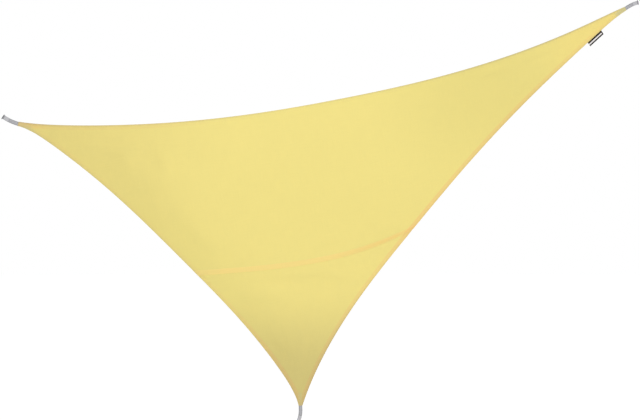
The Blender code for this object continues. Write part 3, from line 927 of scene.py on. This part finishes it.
class SailColours(PropertyGroup):
    """Colours of the sail, in linear light."""

    cloth: colour_setting("Cloth", "One layer of the sailcloth", (0.880, 0.770, 0.272))
    # The low and left corner colours are painted shade, darker than the cloth.
    low_corner: colour_setting("Low corner", "Cloth darkened by painted shade at the low corner", (0.690, 0.595, 0.222))
    left_corner: colour_setting("Left corner", "Cloth towards the left ring", (0.800, 0.690, 0.243))
    right_corner: colour_setting("Right corner", "Cloth towards the right ring", (0.895, 0.755, 0.255))
    shade_tint: colour_setting(
        "Shaded cloth", "How much of each colour the darker places keep", (0.945, 0.945, 0.930))
    # The lap's colours are painted light through its two layers of cloth.
    seam: colour_setting(
        "Seam", "The lap of the two panels, at its left and in its middle", (0.952, 0.772, 0.276))
    seam_deep: colour_setting("Seam's right end", "The lap towards its right end", (0.930, 0.710, 0.236))
    # Painted light through the cloth: two layers let less light through and look a deeper orange.
    doubled_backlight_tint: colour_setting(
        "Doubled cloth", "How much of each colour two layers keep", (1.03, 0.86, 0.90), most=1.2)
    fold_tint: colour_setting(
        "Folded edge", "How much of each colour the fold keeps", (0.72, 0.72, 0.96))
    # The webbing behind the cloth, with the painted shadow it casts in the light through the cloth.
    webbing_shadow_through: colour_setting(
        "Webbing showing through", "Cloth with webbing behind it", (0.640, 0.615, 0.350))
    webbing: colour_setting("Webbing", "Face of the corner webbing", (0.47, 0.47, 0.49))
    webbing_sewn: colour_setting(
        "Sewn webbing", "Webbing whose two legs are sewn together", (0.40, 0.40, 0.42))
    webbing_edge: colour_setting(
        "Webbing edge", "Selvedges and sealed ends of the webbing", (0.24, 0.24, 0.25))
    # Painted shade on the loop where it turns round its ring's bar.
    webbing_bar_shade: colour_setting(
        "Webbing shaded at the bar", "Webbing where it turns round a ring's bar", (0.17, 0.17, 0.18))
    # The ring steel's colour holds painted shade: far darker than bare stainless steel, so that the wire
    # looks dark in the white surroundings.
    steel: colour_setting("Ring steel", "Stainless wire", (0.26, 0.26, 0.27))
    thread: colour_setting("Cloth thread", "Thread of the hems and the seam", (0.80, 0.64, 0.26))
    corner_thread: colour_setting(
        "Corner thread", "Heavy thread that holds the webbing", (0.55, 0.50, 0.34))
    bar_thread: colour_setting(
        "Bar thread", "Thread that joins the two legs of a webbing loop", (0.10, 0.10, 0.105))
    label_field: colour_setting("Label field", "Blank middle of the flag label", (0.74, 0.71, 0.70))
    label_border: colour_setting(
        "Label bands", "Dark plain bands of the flag label", (0.020, 0.014, 0.010))


class SailSewing(PropertyGroup):
    """Sizes of the thread and of the small shapes it draws into the cloth."""

    stitch_pitch: length_setting("Stitch pitch", "From one stitch to the next", 0.0060, 0.002, 0.02)
    stitch_length: length_setting("Stitch length", "Thread that shows in one stitch", 0.0048, 0.001, 0.02)
    thread_width: length_setting("Thread width", "Width of the thread on the cloth", 0.0009, 0.0002, 0.003)
    pucker_height: length_setting(
        "Pucker height", "Waves that the sewing leaves beside hems and seam", 0.0007, 0.0, 0.005)
    wave_height: length_setting("Wave height", "Slow waves over the whole cloth", 0.0020, 0.0, 0.008)
    crease_share: FloatProperty(
        name="Creases", description="Share of the full depth of the soft creases", subtype="FACTOR",
        default=1.0, min=0.0, max=2.0)


class SailMesh(PropertyGroup):
    """How finely the cloth and the rings are divided."""

    columns: count_setting("Columns", "Columns of faces between the side hems", 150, 20, 300)
    upper_rows: count_setting("Upper rows", "Rows of faces above the seam", 44, 8, 120)
    lower_rows: count_setting("Lower rows", "Rows of faces below the seam", 44, 8, 120)
    wire_sides: count_setting("Wire sides", "Faces round the rings' wire", 20, 8, 48)


class SailStage(PropertyGroup):
    """The floor, the light and the camera."""

    floor_drop: FloatProperty(
        name="Floor drop", description="From the sail's lowest point down to the floor", unit="LENGTH",
        default=0.55, min=0.05, max=5.0)
    sky_light: FloatProperty(
        name="Sky light", description="Even light from all sides", default=0.61, min=0.0, max=2.0)
    key_power: FloatProperty(
        name="Key light", description="Power of the large soft light in front", unit="POWER",
        default=255.0, min=0.0, max=3000.0)
    lens: FloatProperty(
        name="Lens", description="Focal length on a 36 mm sensor", default=196.875, min=20.0, max=400.0)


# ---- Operators
class SAIL_OT_stage(Operator):
    """Floor, white surroundings, soft light and the camera"""

    bl_idname = "sail.stage"
    bl_label = "Stage"

    def execute(self, context):
        settings = context.scene.sail_stage
        add_floor(settings)
        add_surroundings(context.scene, settings)
        add_key_light(context.scene, settings)
        add_camera(context.scene, settings)
        return {"FINISHED"}


class SAIL_OT_cloth(Operator):
    """The two cloth panels with their hems, lap and creases"""

    bl_idname = "sail.cloth"
    bl_label = "Cloth panels"

    def execute(self, context):
        material = shared_material("sail_cloth", cloth_material, context.scene.sail_colours)
        build_upper(context.scene, material)
        build_lower(context.scene, material)
        return {"FINISHED"}


class SAIL_OT_stitching(Operator):
    """Rows of stitches along the hems and the seam, on both faces"""

    bl_idname = "sail.stitching"
    bl_label = "Stitching"

    def execute(self, context):
        sewing = context.scene.sail_sewing
        material = shared_material("cloth_thread", thread_material, context.scene.sail_colours.thread)
        for edge in EDGES:
            build_hem_stitches(edge, sewing, material)
        build_seam_stitches(sewing, material)
        return {"FINISHED"}


class SAIL_OT_webbing(Operator):
    """The three webbing loops and the boxes of stitches that hold them"""

    bl_idname = "sail.webbing"
    bl_label = "Webbing loops"

    def execute(self, context):
        colours, sewing = context.scene.sail_colours, context.scene.sail_sewing
        material = shared_material("sail_webbing", webbing_material, colours)
        heavy = shared_material("corner_thread", thread_material, colours.corner_thread)
        dark = shared_material("bar_thread", thread_material, colours.bar_thread)
        for corner in CORNERS:
            build_webbing(corner, material)
            build_corner_stitches(corner, sewing, heavy)
            build_bar_stitches(corner, sewing, dark)
        return {"FINISHED"}


class SAIL_OT_rings(Operator):
    """The three wire rings"""

    bl_idname = "sail.rings"
    bl_label = "Rings"

    def execute(self, context):
        material = shared_material("ring_steel", steel_material, context.scene.sail_colours)
        for corner in CORNERS:
            build_ring(corner, context.scene.sail_mesh.wire_sides, material)
        return {"FINISHED"}


class SAIL_OT_label(Operator):
    """The blank flag label on the right hem"""

    bl_idname = "sail.label"
    bl_label = "Label"

    def execute(self, context):
        build_label(shared_material("label_tape", label_material, context.scene.sail_colours))
        return {"FINISHED"}


class SAIL_PT_parts(Panel):
    """Buttons and settings of the shade sail"""

    bl_label = "Shade Sail"
    bl_idname = "SAIL_PT_parts"
    bl_space_type = "VIEW_3D"
    bl_region_type = "UI"
    bl_category = "Shade Sail"

    def draw(self, context):
        layout = self.layout
        for kind in OPERATORS:
            layout.operator(kind.bl_idname)
        for key in SETTINGS:
            group = getattr(context.scene, key)
            box = layout.box()
            box.label(text=key.replace("_", " ").title())
            for name in type(group).__annotations__:
                box.prop(group, name)


# ---- The cloth
def build_panel(scene, side, material, plan, below, behind, seam):
    """A panel over its plan. below is the distance above the upper panel's lower edge, behind how
    far the panel is set back behind the other, and seam scales the masks of the lap's colour."""
    distances = edge_distances(plan)
    nearest = distances.min(axis=-1)
    thick = thickness(distances)
    front = cloth_front(plan, distances) + fine_relief(plan, distances, scene.sail_sewing)
    front = front + (thick + GAP) * behind
    turned = np.maximum(rounded(nearest), rounded(below) * thick / HEM)
    inset = np.minimum(turned, thick * TURNED_AT_MOST)
    inset = inset + np.maximum(stitch_dip(nearest, HEM_ROWS_AT), stitch_dip(below, LAP_ROWS_AT))
    masks = cloth_masks(plan)
    for key, share in seam.items():
        masks[key] = masks[key] * share
    piece = sheet_piece(f"cloth_{side}", plan, front + inset, front + thick - inset, material, masks)
    fit(piece, f"panel_{side}")


def build_upper(scene, material):
    plan = upper_plan(scene.sail_mesh.upper_rows, scene.sail_mesh.columns)
    below = np.full(plan.shape[:-1], 1.0)
    below[-len(LAP_LINES):] = np.array(LAP_LINES)[::-1, None]
    seam = {
        "seam_shown": 1.0 - smooth(below, SEAM_LAP - LAP_COLOUR_EDGE, SEAM_LAP + LAP_COLOUR_EDGE),
        "seam_deep": bell(below - SEAM_LAP / 2.0, LAP_CORE),
    }
    build_panel(scene, "upper", material, plan, below, 0.0, seam)


def build_lower(scene, material):
    plan, levels = lower_plan(scene.sail_mesh.lower_rows, scene.sail_mesh.columns)
    past_lap = (levels - 1.0 - HALF_LAP) * SEAM_DEPTH
    behind = 1.0 - smooth(past_lap, 0.0, SEAM_BLEND)
    seam = {"seam_shown": np.where(levels <= 1.0 + HALF_LAP, 1.0, 0.0)[:, None]}
    build_panel(scene, "lower", material, plan, 1.0, behind[:, None], seam)


# ---- Stitches
def stitch_shape(long, wide):
    """Points and faces of one stitch, pointed at its ends, with its thread along X and out along Z."""
    points = [(-long, 0.0, -0.4 * wide)]
    points += [(end * 0.62 * long, side * wide, up * wide) for end in (-1, 1)
               for side, up in ((-1.0, 0.0), (0.0, 0.9), (1.0, 0.0), (0.0, -0.5))]
    points.append((long, 0.0, -0.4 * wide))
    faces = [(0, 1 + k, 1 + (k + 1) % 4) for k in range(4)]
    faces += [(1 + k, 5 + k, 5 + (k + 1) % 4, 1 + (k + 1) % 4) for k in range(4)]
    faces += [(9, 5 + (k + 1) % 4, 5 + k) for k in range(4)]
    return np.array(points), faces


def stitch_piece(name, runs, sewing, material, scale=1.0):
    """Stitches along runs: each run is a line of points with its outward normals."""
    long = sewing.stitch_length * scale / 2.0
    shape, pattern = stitch_shape(long, sewing.thread_width * scale / 2.0)
    vertices, faces = [], []
    for points, normals in runs:
        along = travelled(points)
        count = max(1, int(round(along[-1] / (sewing.stitch_pitch * scale))))
        at = (np.arange(count) + 0.5) * along[-1] / count
        reach = min(long, along[-1] / count * STITCH_REACH)

        def placed(distance, values):
            return np.stack([np.interp(distance, along, values[:, k]) for k in range(3)], axis=1)

        direction = unit(placed(at + reach, points) - placed(at - reach, points))
        outward = unit(placed(at, normals))
        axes = np.stack((direction, np.cross(outward, direction), outward), axis=1)
        first = len(vertices)
        vertices.extend((placed(at, points)[:, None] + shape @ axes).reshape(-1, 3).tolist())
        for start in range(first, len(vertices), len(shape)):
            faces += [tuple(start + v for v in face) for face in pattern]
    fit(add_piece(name, vertices, faces, material, smooth_angle=60.0))


def both_faces(points, front, back):
    """Runs of stitches through (x, z) points on the faces at two depths, sunk a little into them."""
    runs = []
    for depth, sign in ((front + THREAD_SUNK, -1.0), (back - THREAD_SUNK, 1.0)):
        depth = np.broadcast_to(depth, len(points))
        line = np.stack((points[:, 0], depth, points[:, 1]), axis=1)
        runs.append((line, np.tile((0.0, sign, 0.0), (len(line), 1))))
    return runs


def build_hem_stitches(edge, sewing, material):
    """Two rows on the front face of a hem, and the same two on its back."""
    line = edge_points(edge, np.linspace(*SEWN_SHARES, 700))
    normal = left_of(unit(np.gradient(line, axis=0)))
    normal = normal * np.sign(((MIDDLE - line) * normal).sum(-1))[:, None]
    runs = []
    for row in HEM_ROWS_AT:
        points = line + normal * row
        distances = edge_distances(points)
        keep = distances.min(axis=-1) > row - ROW_SLACK
        front = cloth_front(points[keep], distances[keep])
        runs += both_faces(points[keep], front, front + HEM)
    stitch_piece(f"stitches_{edge}", runs, sewing, material)


def build_seam_stitches(sewing, material):
    runs = []
    for row in LAP_ROWS_AT:
        points = row_points(1.0 + HALF_LAP - row / SEAM_DEPTH, np.linspace(*SEWN_SHARES, 500))
        distances = edge_distances(points)
        front = cloth_front(points, distances)
        runs += both_faces(points, front, front + 2.0 * thickness(distances) + GAP)
    stitch_piece("stitches_seam", runs, sewing, material)


# ---- Webbing loops
def webbing_path():
    """The loop's middle line as (distance along the webbing, depth), from the end of its front
    leg, round the ring's bar and back."""
    leg = (GAP + WEB_THICK) / 2.0
    radius = WIRE / 2.0 + GAP + WEB_THICK / 2.0
    lift = math.asin(radius / math.hypot(WEB_NECK, leg)) - math.atan2(leg, WEB_NECK)
    sweep = math.pi / 2.0 + lift
    front = [(distance, -leg) for distance in np.linspace(-WEB_SEWN, WEB_FREE - WEB_NECK, 54)]
    back = [(distance, -depth) for distance, depth in reversed(front)]
    return np.array(front + arc(WEB_FREE, radius, -sweep, sweep, 25) + back)


def webbing_profile():
    """The webbing's section as (across, rise) with rounded selvedges, once round."""
    half, edge = WEB_WIDTH / 2.0, WEB_THICK * 0.45
    across = np.concatenate(([-1.0, -1.0 + 0.3 * edge / half, -1.0 + edge / half],
                             np.linspace(-0.9, 0.9, 13), [1.0 - edge / half, 1.0 - 0.3 * edge / half, 1.0]))
    inset = np.clip((np.abs(across) * half - (half - edge)) / edge, 0.0, 1.0)
    body = WEB_THICK / 2.0 * np.sqrt(1.0 - (0.92 * inset) ** 2)
    face = np.stack((across * half, body), axis=1)
    return np.concatenate((face, (face * (1.0, -1.0))[::-1]))


def build_webbing(corner, material):
    path, profile = webbing_path(), webbing_profile()
    normal = left_of(unit(np.gradient(path, axis=0)))
    along = travelled(path)
    vertices, place, selvedge, sewn, bar_shade = [], [], [], [], []
    for centre, out, gone in zip(path, normal, along):
        for side, rise in profile:
            distance, depth = centre + out * rise
            x, z = on_webbing(corner, distance, side)
            vertices.append((x, depth, z))
            place.append((side, gone, 0.0))
            selvedge.append(smooth(abs(side) / (WEB_WIDTH / 2.0), *SELVEDGE))
            sewn.append(1.0 - smooth(distance, LEGS_SEWN, LEGS_SEWN + SEWN_FADE))
            # painted shade round the ring's bar
            bar_shade.append(smooth(distance, WEB_FREE - SHADED_BEFORE_BAR, WEB_FREE))
    count, around = len(path), len(profile)
    sealed = np.repeat(1.0 - smooth(np.minimum(along, along[-1] - along), *SEALED_END), around)
    masks = {"place": place, "selvedge": np.maximum(selvedge, sealed), "sewn": sewn, "bar_shade": bar_shade}
    faces = tube_faces(count, around)
    faces.append(tuple(range(around - 1, -1, -1)))
    faces.append(tuple((count - 1) * around + m for m in range(around)))
    piece = add_piece(f"webbing_{corner}", vertices, faces, material, smooth_angle=50.0, attributes=masks)
    fit(piece, f"strap_{corner}")


def build_corner_stitches(corner, sewing, material):
    """A sewn box with a cross in it through cloth and webbing, and two bars at its ends."""
    near, far, half = CORNER_BOX
    lines = [
        ((near, -half), (far, -half)), ((far, -half), (far, half)),
        ((far, half), (near, half)), ((near, half), (near, -half)),
        ((near, -half), (far, half)), ((near, half), (far, -half)),
    ]
    lines += [((place, -half), (place, half)) for place in CORNER_BARS]
    runs = []
    for start, end in lines:
        points = TIPS[corner] + np.linspace(start, end, 13) @ np.array(into_cloth(corner))
        runs += both_faces(points, CLOTH_FRONT, WEB_BACK)
    stitch_piece(f"stitches_corner_{corner}", runs, sewing, material, CORNER_THREAD_SCALE)


def build_bar_stitches(corner, sewing, material):
    """Dense rows of dark thread that join the two legs beyond the cloth, with a bar at their end."""
    triple = (-BAR_ROW_GAP, 0.0, BAR_ROW_GAP)
    rows = [[(distance, side + offset) for distance in np.linspace(BAR_ROWS_FROM, LEGS_SEWN, 40)]
            for side in (-BAR_INSET, BAR_INSET) for offset in triple]
    rows += [[(LEGS_SEWN + offset, side) for side in np.linspace(-BAR_INSET, BAR_INSET, 12)]
             for offset in triple]
    runs = []
    for row in rows:
        runs += both_faces(np.array([on_webbing(corner, *place) for place in row]), -WEB_BACK, WEB_BACK)
    stitch_piece(f"stitches_bar_{corner}", runs, sewing, material, BAR_THREAD_SCALE)


# ---- Rings
def ring_path():
    """The wire's middle line in the ring's own plane, as (away from the bar, along the bar)."""
    half = (RING_INNER + WIRE) / 2.0
    inset = half - RING_CORNER
    quarter = math.pi / 2.0
    bar = [(0.0, y) for y in np.linspace(inset, -inset, 9)[1:-1]]
    first = [(RING_CORNER * (1.0 - math.cos(a)), -inset - RING_CORNER * math.sin(a))
             for a in np.linspace(0.0, quarter, 7)]
    first += [(x, -half) for x in np.linspace(RING_CORNER, RING_CORNER + RING_SIDE, 7)[1:-1]]
    bend = arc(RING_CORNER + RING_SIDE, half, -quarter, quarter, 33)
    return np.array(bar + first + bend + [(x, -y) for x, y in reversed(first)])


def build_ring(corner, sides, material):
    path = ring_path()
    offset, angle = webbing_spine(corner, WEB_FREE)
    forward = heading(angle)
    swing = math.radians(CORNERS[corner]["swing"])
    ahead, behind = math.cos(swing), math.sin(swing)
    normal = left_of(unit(np.roll(path, -1, axis=0) - np.roll(path, 1, axis=0)))
    vertices, place = [], []
    gone = 0.0
    for k, (point, out) in enumerate(zip(path, normal)):
        weld = WELD_RISE * bell(point[0] - RING_CORNER - WELD_PLACE, WELD_WIDTH) * (point[1] > 0.0)
        radius = WIRE / 2.0 * (1.0 + weld)
        for turn in np.arange(sides) * 2.0 * math.pi / sides:
            away, side = point + out * (radius * math.cos(turn))
            rise = radius * math.sin(turn)
            middle = TIPS[corner] + offset + forward * (away * ahead - rise * behind)
            x, z = middle + left_of(forward) * side
            vertices.append((x, away * behind + rise * ahead, z))
            place.append((gone, WIRE / 2.0 * turn, 0.0))
        gone += float(np.linalg.norm(path[(k + 1) % len(path)] - point))
    faces = tube_faces(len(path), sides, closed=True, flip=True)
    piece = add_piece(f"wire_{corner}", vertices, faces, material, 60.0, {"place": place})
    fit(piece, f"ring_{corner}")


# ---- Label
def with_lines(values, extra):
    """Even values with extra ones added, leaving out the even ones that lie close to them."""
    extra = np.array(extra)
    clear = np.abs(values[:, None] - extra).min(axis=1) > LINES_APART
    clear[[0, -1]] = True
    return np.sort(np.concatenate((values[clear], extra)))


def build_label(material):
    """A tape folded double, sewn behind the hem by its root, with its fold outermost."""
    start, end = EDGE_ENDS["right"]
    length = np.linalg.norm(end - start)
    near = edge_points("right", LABEL_FROM_TIP / length)
    along = unit(edge_points("right", (LABEL_FROM_TIP + LABEL_LENGTH) / length) - near)
    inner = inward(start, end)
    inner = unit(inner - along * (inner @ along))
    low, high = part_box("label")
    middle = (low.y + high.y) / 2.0
    reach = LABEL_ROOT + LABEL_WIDTH
    radius = LABEL_THICK / 2.0 - LABEL_LAYER / 2.0
    hem_side, fold_side = LABEL_ROOT + LABEL_BANDS["hem"], reach - LABEL_BANDS["fold"]
    flat = with_lines(np.linspace(0.0, reach - LABEL_THICK / 2.0, 15),
                      (hem_side, hem_side + BAND_EDGE, fold_side - BAND_EDGE, fold_side))
    turn = arc(flat[-1], radius, -math.pi / 2.0, math.pi / 2.0, 9)[1:-1]
    path = np.array([(s, -radius) for s in flat] + turn + [(s, radius) for s in flat[::-1]])
    normal = left_of(unit(np.gradient(path, axis=0)))
    columns = with_lines(np.linspace(0.0, LABEL_LENGTH, 37),
                         (LABEL_BANDS["end"], LABEL_BANDS["end"] + BAND_EDGE))
    vertices, place, border = [], [], []
    for side in (-LABEL_LAYER / 2.0, LABEL_LAYER / 2.0):
        for (s, y), out in zip(path, normal):
            across, depth = np.array((s, y)) + out * side
            field = smooth(s, hem_side, hem_side + BAND_EDGE) * smooth(-s, -fold_side, BAND_EDGE - fold_side)
            for c in columns:
                x, z = near + along * c + inner * (LABEL_ROOT - across)
                vertices.append((x, middle + depth, z))
                place.append((c, s, 0.0))
                border.append(1.0 - field * smooth(c, LABEL_BANDS["end"], LABEL_BANDS["end"] + BAND_EDGE))
    faces = double_sheet_faces(len(path), len(columns))
    piece = add_piece("flag_label", vertices, faces, material, 50.0, {"place": place, "border": border})
    fit(piece, "label")


# ---- The stage
def add_floor(settings):
    height = CAD_BOX[0].z - settings.floor_drop
    middle = (CAD_BOX[0].x + CAD_BOX[1].x) / 2.0
    turns = [2.0 * math.pi * k / FLOOR_SIDES for k in range(FLOOR_SIDES)]
    vertices = [(middle, 0.0, height)]
    for radius in FLOOR_RADII:
        vertices += [(middle + radius * math.cos(a), radius * math.sin(a), height) for a in turns]
    faces = [(0, 1 + k, 1 + (k + 1) % FLOOR_SIDES) for k in range(FLOOR_SIDES)]
    faces += tube_faces(len(FLOOR_RADII), FLOOR_SIDES, first=1, flip=True)
    finish = Finish("studio_floor", Base_Color=FLOOR_GREY, Roughness=0.95, Emission_Color=WHITE,
                    Emission_Strength=FLOOR_GLOW)
    add_piece("studio_floor", vertices, faces, finish.material)


def add_surroundings(scene, settings):
    """White to the camera, and an even softer light on the sail."""
    world = bpy.data.worlds.new("white_surroundings")
    world.use_nodes = True
    scene.world = world
    graph = Graph(world.node_tree)
    seen = world.node_tree.nodes["Background"]
    graph.feed(seen.inputs["Color"], WHITE)
    graph.feed(seen.inputs["Strength"], 1.0)
    light = graph.add("ShaderNodeBackground", {"Color": WHITE, "Strength": settings.sky_light})
    camera_ray = graph.add("ShaderNodeLightPath").outputs["Is Camera Ray"]
    mixed = graph.add("ShaderNodeMixShader", {0: camera_ray, 1: light.outputs[0], 2: seen.outputs[0]})
    graph.feed(world.node_tree.nodes["World Output"].inputs["Surface"], mixed.outputs[0])
    scene.view_settings.view_transform = "Standard"
    scene.view_settings.look = "None"


def add_key_light(scene, settings):
    """A large soft light in front of the sail and above it."""
    centre = (CAD_BOX[0] + CAD_BOX[1]) / 2.0
    data = bpy.data.lights.new("key_light", "AREA")
    data.shape = "RECTANGLE"
    data.size, data.size_y = KEY_LIGHT_SIZE
    data.energy = settings.key_power
    light = bpy.data.objects.new("key_light", data)
    light.location = Vector((centre.x, 0.0, CAD_BOX[1].z)) + Vector(KEY_LIGHT_AT)
    aim = Vector((centre.x, 0.0, centre.z + KEY_LIGHT_AIM))
    light.rotation_euler = (aim - light.location).to_track_quat("-Z", "Y").to_euler()
    scene.collection.objects.link(light)


def add_camera(scene, settings):
    left = TIPS["left"]
    location = Vector((left[0], 0.0, left[1])) + Vector(CAMERA_AT)
    forward = Vector(CAMERA_FORWARD).normalized()
    right = Vector(CAMERA_RIGHT).normalized()
    data = bpy.data.cameras.new("camera")
    data.lens = settings.lens
    data.sensor_width = 36.0
    data.clip_start, data.clip_end = CAMERA_CLIP
    camera = bpy.data.objects.new("camera", data)
    turn = Matrix((right, right.cross(forward), -forward)).transposed().to_4x4()
    camera.matrix_world = Matrix.Translation(location) @ turn
    scene.collection.objects.link(camera)
    scene.camera = camera


# ---- Registering
SETTINGS = {
    "sail_colours": SailColours,
    "sail_sewing": SailSewing,
    "sail_mesh": SailMesh,
    "sail_stage": SailStage,
}
OPERATORS = (
    SAIL_OT_stage,
    SAIL_OT_cloth,
    SAIL_OT_stitching,
    SAIL_OT_webbing,
    SAIL_OT_rings,
    SAIL_OT_label,
)
CLASSES = (*SETTINGS.values(), *OPERATORS, SAIL_PT_parts)


def register():
    for kind in CLASSES:
        bpy.utils.register_class(kind)
    for key, kind in SETTINGS.items():
        setattr(bpy.types.Scene, key, PointerProperty(type=kind))


def unregister():
    for key in SETTINGS:
        delattr(bpy.types.Scene, key)
    for kind in reversed(CLASSES):
        bpy.utils.unregister_class(kind)


def main():
    register()
    bpy.ops.sail.stage()
    bpy.ops.sail.cloth()
    bpy.ops.sail.stitching()
    bpy.ops.sail.webbing()
    bpy.ops.sail.rings()
    bpy.ops.sail.label()


if __name__ == "__main__":
    main()
